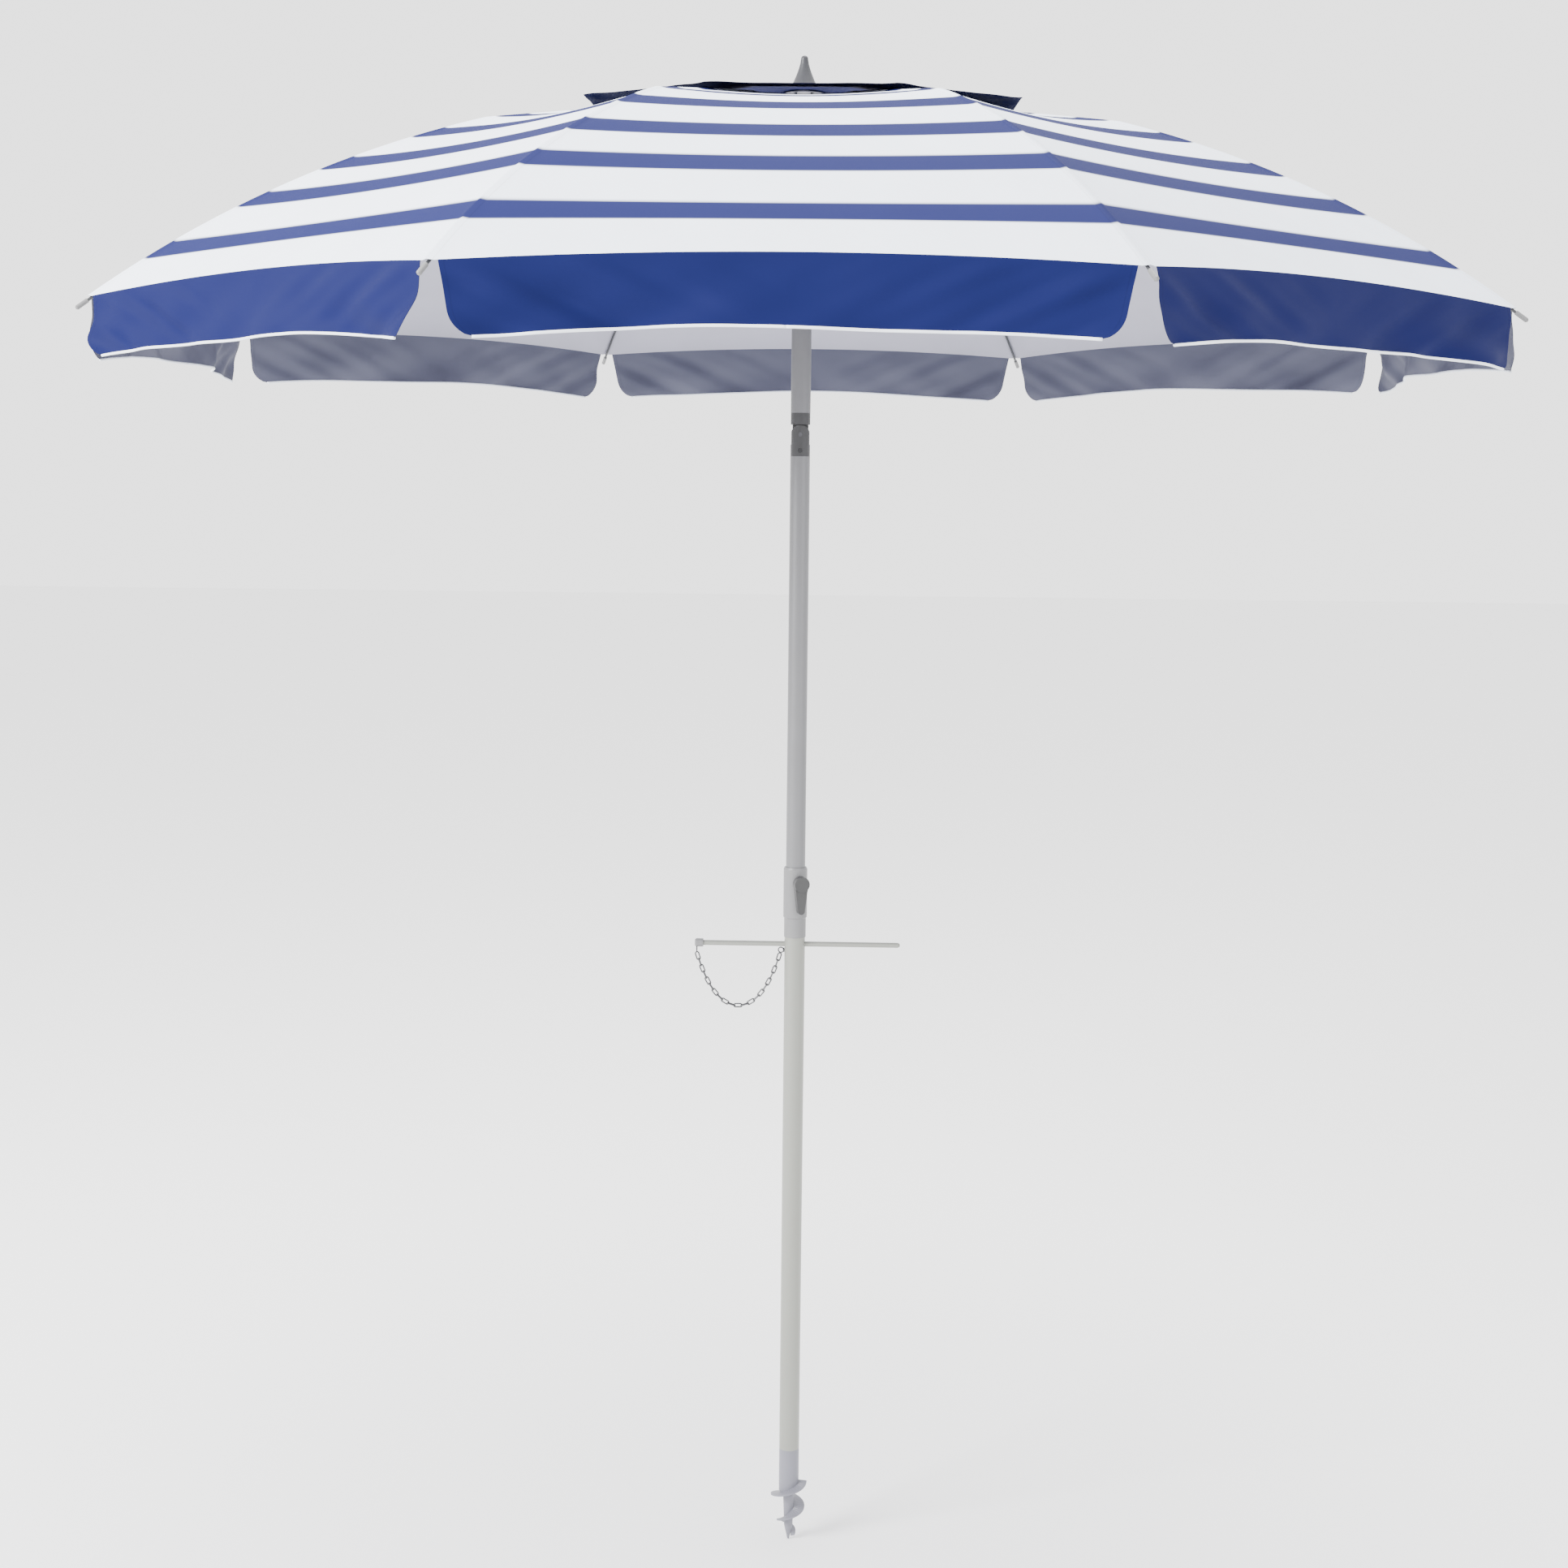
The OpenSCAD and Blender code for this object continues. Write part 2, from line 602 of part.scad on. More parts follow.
module stretcher() {
    color("dimgray") translate([runner_pivot_r, 0, runner_z]) rotate([0, -stretch_a, 0]) difference() {
        union() {
            rotate([90, 0, 0]) cylinder(d = eye_d, h = eye_t, center = true);
            rotate([90, 0, 0]) cylinder(r = pin_d / 2, h = trunnion_len, center = true);
            translate([2, 0, 0]) rotate([0, 90, 0]) cylinder(d = stretcher_d, h = stretch_len - 14);
            translate([stretch_len - 16, -eye_t / 2 - loose - arm_t, -eye_d / 2])
                cube([6, eye_t + 2 * loose + 2 * arm_t, eye_d]);
            fork_arms();
        }
        translate([stretch_len, 0, 0]) rotate([90, 0, 0])
            cylinder(r = pin_d / 2 + running, h = 20, center = true);
    }
}

module fork_arms() {
    for (side = [0, 180]) translate([stretch_len, 0, 0]) rotate([side, 0, 0])
        translate([0, eye_t / 2 + loose, 0]) {
            translate([-12, 0, -eye_d / 2]) cube([12, arm_t, eye_d]);
            rotate([-90, 0, 0]) cylinder(d = eye_d, h = arm_t);
        }
}

// One eighth of the canopy, centred on a rib: cloth, two half flaps and the vent cap
module canopy() {
    under = rib_d / 2 + cloth_gap;
    outer = spaced(bend_r, canopy_r, outer_rows);
    radii = concat(spaced(vent_r, bend_r, inner_rows), [for (i = [1:outer_rows]) outer[i]]);
    main_low = section_grid(radii, function (r) cloth_z(r, under));
    main_high = section_grid(radii, function (r) cloth_z(r, under) + cloth_t);
    cap_radii = concat([stud_d / 2 + 1], spaced(cap_flat, cap_r, cap_rows));
    cap_low = section_grid(cap_radii, function (r) cap_height(r));
    cap_high = section_grid(cap_radii, function (r) cap_height(r) + cloth_t);
    color("royalblue") {
        union() {
            shell(main_low, main_high);
            for (side = [-1, 1]) flap(side, cloth_z(canopy_r, under) + cloth_t / 2);
        }
        shell(cap_low, cap_high);
    }
}

// Underside of the vent cap: level over the washer, then straight down to its edge
function cap_height(r) =
    let (edge_z = cloth_z(cap_r, rib_d / 2 + cloth_gap) + cloth_t + cap_gap)
    cap_z + (edge_z - cap_z) * max(r - cap_flat, 0) / (cap_r - cap_flat);

// Half a valance flap, from the notch at the rib to the middle of the gore
module flap(side, top) {
    half = canopy_r * sin(half_gore) - seam_gap;
    mirror([0, side < 0 ? 1 : 0, 0]) translate([canopy_r, 0, top]) rotate([0, 0, 90 + half_gore])
        rotate([90, 0, 0]) linear_extrude(cloth_t) polygon(concat(
            [[notch_top, 0], [notch_top + 4, -valance_h * 0.45]],
            [for (a = [180:15:270])
                [notch + 16 + 16 * cos(a), -valance_h + 16 + 16 * sin(a)]],
            [[half, -valance_h], [half, 0]]));
}

auger();
lower_tube();
collar();
collar_screw();
chain_eyelet();
chain();
clamp_knob();
clamp_screw();
crossbar();
crossbar_cap();
crossbar_ring();
middle_tube();
middle_plug();
tilt_lower_knuckle();
tilt_pin();
tilt_button();
tilt_spring();
tilt_upper_knuckle();
mast_tube();
runner_catch();
hub();
hub_pins();
hub_washer();
finial();
finial_stud();
runner();
runner_grip();
for (i = [1:rib_count]) {
    at_rib(i) rib();
    at_rib(i) rib_fittings();
    at_rib(i) stretcher();
    at_rib(i) canopy();
}
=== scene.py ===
"""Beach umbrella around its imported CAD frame.

A screw-in pole carries a crossbar on a chain, a clamp collar, a tilt joint and eight ribs with a
striped canopy. A point of the cloth is (r, s): r is its distance from the pole's axis along a rib,
in metres, and s runs from -1 to 1 across one section, from one gore's middle over the rib to the
next gore's middle.
"""
import json
import math

import bpy
import numpy as np
from mathutils import Matrix


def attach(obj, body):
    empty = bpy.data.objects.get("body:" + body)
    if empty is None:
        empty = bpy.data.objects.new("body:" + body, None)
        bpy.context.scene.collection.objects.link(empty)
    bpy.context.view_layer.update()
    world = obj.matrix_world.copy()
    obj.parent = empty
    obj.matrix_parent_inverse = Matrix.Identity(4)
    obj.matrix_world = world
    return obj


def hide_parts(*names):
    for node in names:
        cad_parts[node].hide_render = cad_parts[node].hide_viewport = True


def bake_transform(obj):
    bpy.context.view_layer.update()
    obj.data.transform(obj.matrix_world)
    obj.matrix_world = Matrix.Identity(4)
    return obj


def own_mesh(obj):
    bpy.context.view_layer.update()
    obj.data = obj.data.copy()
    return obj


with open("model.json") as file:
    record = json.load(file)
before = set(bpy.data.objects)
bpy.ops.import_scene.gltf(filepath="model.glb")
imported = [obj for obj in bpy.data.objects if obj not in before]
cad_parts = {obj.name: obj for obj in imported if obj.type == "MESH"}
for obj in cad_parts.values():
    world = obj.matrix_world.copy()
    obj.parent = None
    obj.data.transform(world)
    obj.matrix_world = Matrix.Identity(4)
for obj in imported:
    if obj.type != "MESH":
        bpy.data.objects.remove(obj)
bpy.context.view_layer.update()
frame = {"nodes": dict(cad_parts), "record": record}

# ---------------------------------------------------------------------------------------------
# Camera: a long lens below the canopy's rim and 3.46 m in front of the pole, tipped a little
# down, so that the whole umbrella is in the frame. It is rolled a little to the right.
# ---------------------------------------------------------------------------------------------
FOCAL_MM = 51.876
CAMERA_AROUND, CAMERA_AWAY, CAMERA_HEIGHT = math.radians(1.02), 3.464, 1.701
PAN, TIP_DOWN, ROLL = math.radians(1.34), math.radians(7.7), math.radians(0.60)

scene = bpy.context.scene
lens = bpy.data.cameras.new("camera")
lens.sensor_width = 36.0
lens.lens = FOCAL_MM
camera = bpy.data.objects.new("camera", lens)
scene.collection.objects.link(camera)
camera.matrix_world = (
    Matrix.Translation((CAMERA_AWAY * math.sin(CAMERA_AROUND),
                        -CAMERA_AWAY * math.cos(CAMERA_AROUND), CAMERA_HEIGHT))
    @ Matrix.Rotation(PAN, 4, "Z")
    @ Matrix.Rotation(math.pi / 2 - TIP_DOWN, 4, "X")
    @ Matrix.Rotation(ROLL, 4, "Z")
)
scene.camera = camera

# ---------------------------------------------------------------------------------------------
# Safety chain: bright steel wire bent into stadium links, each a quarter turn from the last. It
# hangs as a catenary from the ring at the crossbar's end to an eyelet on the lower pole, so that
# the bar can't be lost. The screws, pins, springs and rings are of the same steel.
# ---------------------------------------------------------------------------------------------
LINKS, LINK_STEPS, WIRE_STEPS = 21, 24, 8
WIRE_R, LINK_BEND_R = 0.0011, 0.0027           # radius of the wire, and of a link's round ends
LINK_LAP = 0.9 * WIRE_R                        # how far a link reaches past its share of the chain
CHAIN_STEP = 0.001
SAG_SCALE = 0.034                              # the catenary's own length scale
CHAIN_MIDDLE_X, CHAIN_HALF_SPAN, CHAIN_TOP = -0.088, 0.065, 0.965
CHAIN_HALF = SAG_SCALE * math.sinh(CHAIN_HALF_SPAN / SAG_SCALE)
CHAIN_LOW = CHAIN_TOP - SAG_SCALE * (math.cosh(CHAIN_HALF_SPAN / SAG_SCALE) - 1)


def mesh_object(name, points, faces):
    """A smooth mesh object from points and faces, linked to the scene."""
    mesh = bpy.data.meshes.new(name)
    mesh.from_pydata(np.asarray(points).tolist(), [], faces)
    mesh.update()
    mesh.polygons.foreach_set("use_smooth", [True] * len(mesh.polygons))
    made = bpy.data.objects.new(name, mesh)
    scene.collection.objects.link(made)
    return made


def unit(v):
    """Rows of v divided by their lengths."""
    return v / np.linalg.norm(v, axis=-1)[..., None]


def round_bar(path, side, up, radius, steps, closed):
    """A round bar along path: every point of it has a ring in the plane of the unit vectors side
    and up, at radius from it. A closed bar joins its last ring to the first, an open one has flat
    ends."""
    turn = np.arange(steps) * 2 * np.pi / steps
    ring = np.cos(turn)[None, :, None] * side[:, None] + np.sin(turn)[None, :, None] * up[:, None]
    count = len(path)
    i, k = np.meshgrid(np.arange(count if closed else count - 1), np.arange(steps), indexing="ij")
    after, beside = (i + 1) % count * steps, (k + 1) % steps
    quads = np.stack([i * steps + k, i * steps + beside, after + beside, after + k], -1)
    faces = quads.reshape(-1, 4).tolist()
    if not closed:
        faces += [list(range(steps))[::-1], list(range((count - 1) * steps, count * steps))]
    return (path[:, None] + radius * ring).reshape(-1, 3), faces


def chain_point(along):
    """A point of the catenary at arc length along from its lowest point: sideways it is the scale
    times the inverse hyperbolic sine of along over the scale, and it rises by the scale times
    the hyperbolic cosine, less one, of that distance over the scale."""
    x = SAG_SCALE * np.arcsinh(along / SAG_SCALE)
    rise = SAG_SCALE * (np.cosh(x / SAG_SCALE) - 1)
    return np.stack([CHAIN_MIDDLE_X + x, np.zeros_like(x), CHAIN_LOW + rise], -1)


def link_mesh(number):
    """One link: two straight sides along the chain and two half circles, as a closed round bar."""
    pitch = 2 * CHAIN_HALF / LINKS
    half_straight = pitch / 2 + LINK_LAP - LINK_BEND_R
    at = -CHAIN_HALF + (number + 0.5) * pitch
    middle, before, after = chain_point(np.array([at, at - CHAIN_STEP, at + CHAIN_STEP]))
    way, sideways = unit(after - before), np.array([0.0, 1.0, 0.0])
    wide = sideways if number % 2 else np.cross(way, sideways)
    turn = np.arange(LINK_STEPS)[:, None] * 2 * np.pi / LINK_STEPS
    c, s = np.cos(turn), np.sin(turn)
    path = middle + way * (np.copysign(half_straight, c) + LINK_BEND_R * c) + wide * LINK_BEND_R * s
    up = np.broadcast_to(np.cross(way, wide), path.shape)
    side = np.cross(unit(np.roll(path, -1, 0) - np.roll(path, 1, 0)), up)
    return round_bar(path, side, up, WIRE_R, WIRE_STEPS, closed=True)


def maths(tree, operation, *values):
    """The output of a Math node in tree. Each value is a number or another node's output."""
    node = tree.nodes.new("ShaderNodeMath")
    node.operation = operation
    for socket, value in zip(node.inputs, values):
        if isinstance(value, (int, float)):
            socket.default_value = value
        else:
            tree.links.new(value, socket)
    return node.outputs[0]


def scaled_colour(tree, colour, factor):
    """The output of a node that multiplies a colour by a factor."""
    node = tree.nodes.new("ShaderNodeVectorMath")
    node.operation = "SCALE"
    tree.links.new(colour, node.inputs[0])
    tree.links.new(factor, node.inputs["Scale"])
    return node.outputs[0]


def noise(tree, vector, scale, detail):
    """A noise texture read on vector. Its scale is a number or another node's output."""
    node = tree.nodes.new("ShaderNodeTexNoise")
    node.inputs["Detail"].default_value = detail
    tree.links.new(vector, node.inputs["Vector"])
    if isinstance(scale, float):
        node.inputs["Scale"].default_value = scale
    else:
        tree.links.new(scale, node.inputs["Scale"])
    return node.outputs["Fac"]


def uneven_group():
    """Group 'uneven': a colour and roughness that vary with a broad and a fine noise, mixed 6 to
    4, on the piece's own coordinates. The fine noise is also a height for bumps."""
    tree = bpy.data.node_groups.new("uneven", "ShaderNodeTree")
    for name, kind, value in (("Color", "NodeSocketColor", (0.5, 0.5, 0.5, 1)),
                              ("Roughness", "NodeSocketFloat", 0.4),
                              ("Amount", "NodeSocketFloat", 0.06),
                              ("Scale", "NodeSocketFloat", 60.0)):
        socket = tree.interface.new_socket(name=name, in_out="INPUT", socket_type=kind)
        socket.default_value = value
    for name, kind in (("Color", "NodeSocketColor"), ("Roughness", "NodeSocketFloat"),
                       ("Height", "NodeSocketFloat")):
        tree.interface.new_socket(name=name, in_out="OUTPUT", socket_type=kind)
    given, result = tree.nodes.new("NodeGroupInput"), tree.nodes.new("NodeGroupOutput")
    place = tree.nodes.new("ShaderNodeTexCoord").outputs["Object"]
    broad = noise(tree, place, 9.0, 3.0)
    fine = noise(tree, place, given.outputs["Scale"], 4.0)
    mixed = maths(tree, "MULTIPLY_ADD", broad, 0.6, maths(tree, "MULTIPLY", fine, 0.4))
    centred = maths(tree, "SUBTRACT", mixed, 0.5)
    twice = maths(tree, "MULTIPLY", given.outputs["Amount"], 2.0)
    gain = maths(tree, "MULTIPLY_ADD", centred, twice, 1.0)
    roughness = maths(tree, "MULTIPLY_ADD", centred, 0.22, given.outputs["Roughness"])
    tree.links.new(scaled_colour(tree, given.outputs["Color"], gain), result.inputs["Color"])
    tree.links.new(roughness, result.inputs["Roughness"])
    tree.links.new(fine, result.inputs["Height"])
    return tree


UNEVEN = uneven_group()


def material_with(name, group):
    """A new material and its shader, with node group placed beside it."""
    material = bpy.data.materials.new(name)
    material.use_nodes = True
    placed = material.node_tree.nodes.new("ShaderNodeGroup")
    placed.node_tree = group
    return material, material.node_tree.nodes["Principled BSDF"], placed


def bumps(tree, height, strength, distance, shader):
    """Shader's normal follows height, by a bump of strength over distance."""
    node = tree.nodes.new("ShaderNodeBump")
    node.inputs["Strength"].default_value = strength
    node.inputs["Distance"].default_value = distance
    tree.links.new(height, node.inputs["Height"])
    tree.links.new(node.outputs["Normal"], shader.inputs["Normal"])


def hard_finish(slot, colour, rough, metal=0.0, amount=0.06, scale=60.0):
    """A metal, paint or plastic finish, given to every CAD node whose slot has its name."""
    material, shader, uneven = material_with(slot, UNEVEN)
    uneven.inputs["Color"].default_value = (*colour, 1)
    uneven.inputs["Roughness"].default_value = rough
    uneven.inputs["Amount"].default_value = amount
    uneven.inputs["Scale"].default_value = scale
    tree = material.node_tree
    tree.links.new(uneven.outputs["Color"], shader.inputs["Base Color"])
    tree.links.new(uneven.outputs["Roughness"], shader.inputs["Roughness"])
    bumps(tree, uneven.outputs["Height"], 0.05, 0.0002, shader)
    shader.inputs["Metallic"].default_value = metal
    for row in frame["record"]["subparts"]:
        if row["material_slot"] == slot:
            dressed = frame["nodes"][row["node"]].data.materials
            dressed.clear()
            dressed.append(material)
    return material


steel = hard_finish("steel", (0.095, 0.095, 0.10), 0.38, metal=1.0, amount=0.10, scale=120)

chain_verts, chain_faces = [], []
for number in range(LINKS):
    verts, faces = link_mesh(number)
    chain_faces += (np.array(faces) + len(chain_verts)).tolist()
    chain_verts += verts.tolist()
chain = mesh_object("chain_links", chain_verts, chain_faces)
chain.data.materials.append(steel)
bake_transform(chain)
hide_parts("chain")

# ---------------------------------------------------------------------------------------------
# Auger: a pointed plastic screw with a broad flight, moulded in one piece. It is pushed on the
# lower pole's foot, so that the pole can be turned into sand.
# ---------------------------------------------------------------------------------------------
hard_finish("auger_plastic", (0.155, 0.155, 0.184), 0.38, amount=0.10, scale=40)

# ---------------------------------------------------------------------------------------------
# Poles and crossbar: painted steel tube. The upper pole slides in the lower one, the mast stands
# on the tilt joint, and the crossbar goes through two holes in the lower pole.
# ---------------------------------------------------------------------------------------------
hard_finish("lower_tube_paint", (0.225, 0.23, 0.206), 0.33, metal=0.25, amount=0.05, scale=90)
hard_finish("upper_tube_paint", (0.156, 0.156, 0.161), 0.34, metal=0.35, amount=0.05, scale=90)

# ---------------------------------------------------------------------------------------------
# Clamp collar, tilt joint and their small parts: moulded plastic. The collar is screwed to the
# lower pole, its knob and the tilt joint's knuckles are darker, and the tilt button is black.
# ---------------------------------------------------------------------------------------------
hard_finish("collar_plastic", (0.155, 0.155, 0.158), 0.42, amount=0.05)
hard_finish("grey_plastic", (0.031, 0.031, 0.032), 0.42, amount=0.08)
hard_finish("black_plastic", (0.012, 0.012, 0.013), 0.45, amount=0.10)

# ---------------------------------------------------------------------------------------------
# Hub and runner: white nylon, slotted all round for the ribs' and the stretchers' flat ends.
# The ribs and stretchers are thin steel rod, painted dark grey and pinned in those slots.
# ---------------------------------------------------------------------------------------------
hard_finish("white_plastic", (0.70, 0.70, 0.71), 0.38, amount=0.04)
hard_finish("rib_paint", (0.055, 0.057, 0.062), 0.36, metal=0.4, amount=0.06, scale=120)

# ---------------------------------------------------------------------------------------------
# Finial: a turned metal point, lacquered dark grey. It is screwed on the stud in the hub, over
# a washer, and holds down the middle of the vent cap.
# ---------------------------------------------------------------------------------------------
hard_finish("finial_metal", (0.034, 0.035, 0.041), 0.42, metal=0.2, amount=0.12, scale=80)

# ---------------------------------------------------------------------------------------------
# Canopy: eight gores of striped polyester with a silver coating inside, sewn together over the
# ribs and held tight by them. Each section here is the cloth on both sides of one rib, cut at
# its stripes into rings, each riding on its rib.
R, RISE, RIM_HEIGHT, HINGE_R = 1.030, 0.332, 1.929, 0.025
HUB_HEIGHT = RIM_HEIGHT + RISE
ARC_R = ((R - HINGE_R) ** 2 + RISE ** 2) / (2 * RISE)
BEND_AT = 0.480                                # the ribs are straight up to here, then an arc
SLOPE = math.asin((BEND_AT - HINGE_R) / ARC_R) / 2
HALF = math.pi / 8                             # half the angle between two ribs
CHORD = math.sin(HALF) * math.cos(HALF)
CLOTH_THICK = 0.0006
OVER_ROD = 0.0034                              # from a rib's middle line to the cloth's
BOW, BOW_FROM = 0.019, 0.80                    # the rim's inward bow, from this share of R
SAG, SAG_FROM = 0.007, 0.10
TUCK, TUCK_WIDE = 0.0016, 0.010                # the low ridge of the seam over a rib
CREASE_SOFT, MIDDLE_SOFT = 0.0003, 0.006       # softness of the bend at a rib and between ribs
RING_CUTS = [0.180 / R, 0.4065, 0.573, 0.698, 0.808, 0.887, 1.0]    # shares of R
RING_KEEP = [0.42, 0.335, 0.275, 0.22, 0.165, 0.11]
ROW_STEP = 0.018
STRIPES = [(0.908, 0.042), (0.785, 0.046), (0.6735, 0.049),         # middle and width, shares of R
           (0.549, 0.048), (0.430, 0.047), (0.325, 0.046)]
STRIPE_EDGE = 0.0007
STRIPE_BLUE = (0.012, 0.015, 0.080)
THREADS = 5200.0                               # radians of thread waves in a metre
SEAM_AT, SEAM_HALF = 0.006, 0.0007             # stitch lines beside the ribs
NORMAL_STEP = 1e-4
COLUMNS = np.linspace(0, 1, 15)
COLUMNS = np.unique(np.concatenate([-COLUMNS, COLUMNS, [-0.05, -0.02, 0.02, 0.05]]))


def off_rib(s):
    """How far s is from its rib: 0 there and 1 at the gore's middle, as one less the square of
    what is left to the middle, so that the slope is nought where two sections meet."""
    return 1 - (1 - np.abs(s)) ** 2


def rod_height(r, over, soft):
    """Height of a rib's rod raised by over: the lower of a straight line that falls from the hub
    by SLOPE and an arc of radius ARC_R with its top at the hub, blended within soft."""
    reach = np.maximum(r - HINGE_R, 0)
    line = HUB_HEIGHT + over / math.cos(SLOPE) - reach * math.tan(SLOPE)
    arc = HUB_HEIGHT - ARC_R + np.sqrt((ARC_R + over) ** 2 - reach ** 2)
    return np.minimum(line, arc) - soft * np.log1p(np.exp(-np.abs(line - arc) / soft))


def on_chord(r, s, z):
    """The point at r along the rib and s on the straight line from it to the gore's middle, in
    the rib's own frame: x outwards, y across, z up."""
    return np.stack([r * (1 - np.abs(s) * math.sin(HALF) ** 2), r * s * CHORD, z], -1)


def canopy_cloth(r, s):
    """The canopy's middle surface: it follows the rods and lies on chords between them, bows in
    by BOW at the rim's middle, sags by SAG along a sine from hub to rim, and lifts by TUCK in a
    bell curve over each rib."""
    r, s = np.broadcast_arrays(np.asarray(r, float), np.asarray(s, float))
    off = off_rib(s)
    bowed = r - BOW * off * np.clip((r / R - BOW_FROM) / (1 - BOW_FROM), 0, 1) ** 2
    sag = SAG * off * np.sin(np.pi * np.clip((r - SAG_FROM) / (R - SAG_FROM), 0, 1)) ** 0.8
    tuck = TUCK * np.exp(-(np.abs(s) * r / TUCK_WIDE) ** 2)
    height = rod_height(bowed, OVER_ROD, CREASE_SOFT + MIDDLE_SOFT * off)
    return on_chord(bowed, s, height - sag + tuck)


def canopy_uv(r, s):
    """Metres from the rib, and distance along it as a share of R."""
    return s * r * CHORD, r / R


def normals_of(surface, a, b):
    """Unit normals of surface at (a, b): the cross product of its differences over small steps,
    with b's step taken inwards at the ends of its range."""
    outwards = np.where(b >= 0, 1.0, -1.0)
    b_next = b + outwards * np.where(np.abs(b) > 1 - 2 * NORMAL_STEP, -NORMAL_STEP, NORMAL_STEP)
    over_a = surface(a + NORMAL_STEP, b) - surface(a - NORMAL_STEP, b)
    over_b = (surface(a, b_next) - surface(a, b)) * np.sign(b_next - b)[..., None]
    return unit(np.cross(over_a, over_b))


def rib_angle(i):
    """Angle of rib i about Z."""
    return HALF + 2 * HALF * (i - 1) - math.pi / 2


def to_rib(points, i):
    """Points of the ribs' own frame turned about Z to rib i."""
    c, s = math.cos(rib_angle(i)), math.sin(rib_angle(i))
    return points @ np.array([[c, -s, 0], [s, c, 0], [0, 0, 1]]).T


def cloth_piece(name, i, surface, rows, columns, uv, outside, lining, face_to):
    """A thin closed piece over the grid rows x columns of surface, turned to rib i. It has an
    outer and an inner face, each half CLOTH_THICK from the surface along its normals, and walls
    along the grid's border. Normals point towards face_to outside."""
    a, b = np.meshgrid(rows, columns, indexing="ij")
    middle, normal = surface(a, b).reshape(-1, 3), normals_of(surface, a, b).reshape(-1, 3)
    if (normal @ np.array(face_to, float)).mean() < 0:
        normal = -normal
    outer = to_rib(middle + normal * CLOTH_THICK / 2, i)
    inner = to_rib(middle - normal * CLOTH_THICK / 2, i)
    normal = to_rib(normal, i)

    count = a.size
    at = np.arange(count).reshape(a.shape)
    quads = np.stack([at[:-1, :-1], at[1:, :-1], at[1:, 1:], at[:-1, 1:]], -1).reshape(-1, 4)
    corner = outer[quads[0]]
    if np.cross(corner[1] - corner[0], corner[3] - corner[0]) @ normal[quads[0, 0]] < 0:
        quads = quads[:, ::-1]
    edges = np.stack([quads, np.roll(quads, -1, 1)], -1).reshape(-1, 2)
    border = edges[~np.isin(edges @ [count, 1], edges @ [1, count])]
    walls = np.stack([border[:, 0], border[:, 0] + count, border[:, 1] + count, border[:, 1]], -1)
    faces = np.concatenate([quads, quads[:, ::-1] + count, walls])

    piece = mesh_object(name, np.concatenate([outer, inner]), faces.tolist())
    mesh = piece.data
    mesh.materials.append(outside)
    mesh.materials.append(lining)
    slots = np.zeros(len(faces), int)
    slots[len(quads):2 * len(quads)] = 1
    mesh.polygons.foreach_set("material_index", slots)
    on_cloth = np.stack(uv(a, b), -1).reshape(-1, 2)
    layer = mesh.uv_layers.new(name="cloth")
    layer.data.foreach_set("uv", np.tile(on_cloth, (2, 1))[faces.reshape(-1)].reshape(-1))
    mesh.normals_split_custom_set_from_vertices(np.concatenate([normal, -normal]).tolist())
    return piece


def weave_group():
    """Group 'weave': from the cloth's UV, the height of crossed threads as a product of two
    sines, a tone that is cloudy and 10 % darker on the stitch lines, and U and V themselves."""
    tree = bpy.data.node_groups.new("weave", "ShaderNodeTree")
    for name in ("Height", "Tone", "U", "V"):
        tree.interface.new_socket(name=name, in_out="OUTPUT", socket_type="NodeSocketFloat")
    result = tree.nodes.new("NodeGroupOutput")
    uv = tree.nodes.new("ShaderNodeUVMap")
    uv.uv_map = "cloth"
    split = tree.nodes.new("ShaderNodeSeparateXYZ")
    tree.links.new(uv.outputs["UV"], split.inputs[0])
    u, v = split.outputs["X"], split.outputs["Y"]
    warp = maths(tree, "SINE", maths(tree, "MULTIPLY", u, THREADS))
    weft = maths(tree, "SINE", maths(tree, "MULTIPLY", v, THREADS))
    from_seam = maths(tree, "SUBTRACT", maths(tree, "ABSOLUTE", u), SEAM_AT)
    stitches = maths(tree, "LESS_THAN", maths(tree, "ABSOLUTE", from_seam), SEAM_HALF)
    clouds = noise(tree, uv.outputs["UV"], 14.0, 5.0)
    cloudy = maths(tree, "ADD", maths(tree, "MULTIPLY", clouds, 0.10), 0.95)
    tone = maths(tree, "SUBTRACT", cloudy, maths(tree, "MULTIPLY", stitches, 0.10))
    height = maths(tree, "MULTIPLY", warp, weft)
    for name, value in (("Height", height), ("Tone", tone), ("U", u), ("V", v)):
        tree.links.new(value, result.inputs[name])
    return tree


WEAVE = weave_group()


def cloth_finish(name, colour, stripes=(), rough=0.6):
    """Woven cloth of one colour, or with STRIPE_BLUE stripes across V."""
    material, shader, weave = material_with(name, WEAVE)
    tree = material.node_tree
    ramp = tree.nodes.new("ShaderNodeValToRGB")
    stops = ramp.color_ramp.elements
    stops[0].position, stops[0].color = 0.0, (*colour, 1)
    stops[1].position, stops[1].color = 1.0, (*colour, 1)
    for middle, width in stripes:
        for edge, outside, inside in ((middle - width / 2, -1, 1), (middle + width / 2, 1, -1)):
            stops.new(edge + outside * STRIPE_EDGE).color = (*colour, 1)
            stops.new(edge + inside * STRIPE_EDGE).color = (*STRIPE_BLUE, 1)
    tree.links.new(weave.outputs["V"], ramp.inputs["Fac"])
    toned = scaled_colour(tree, ramp.outputs["Color"], weave.outputs["Tone"])
    tree.links.new(toned, shader.inputs["Base Color"])
    bumps(tree, weave.outputs["Height"], 0.12, 0.0003, shader)
    shader.inputs["Roughness"].default_value = rough
    shader.inputs["Specular IOR Level"].default_value = 0.06
    return material


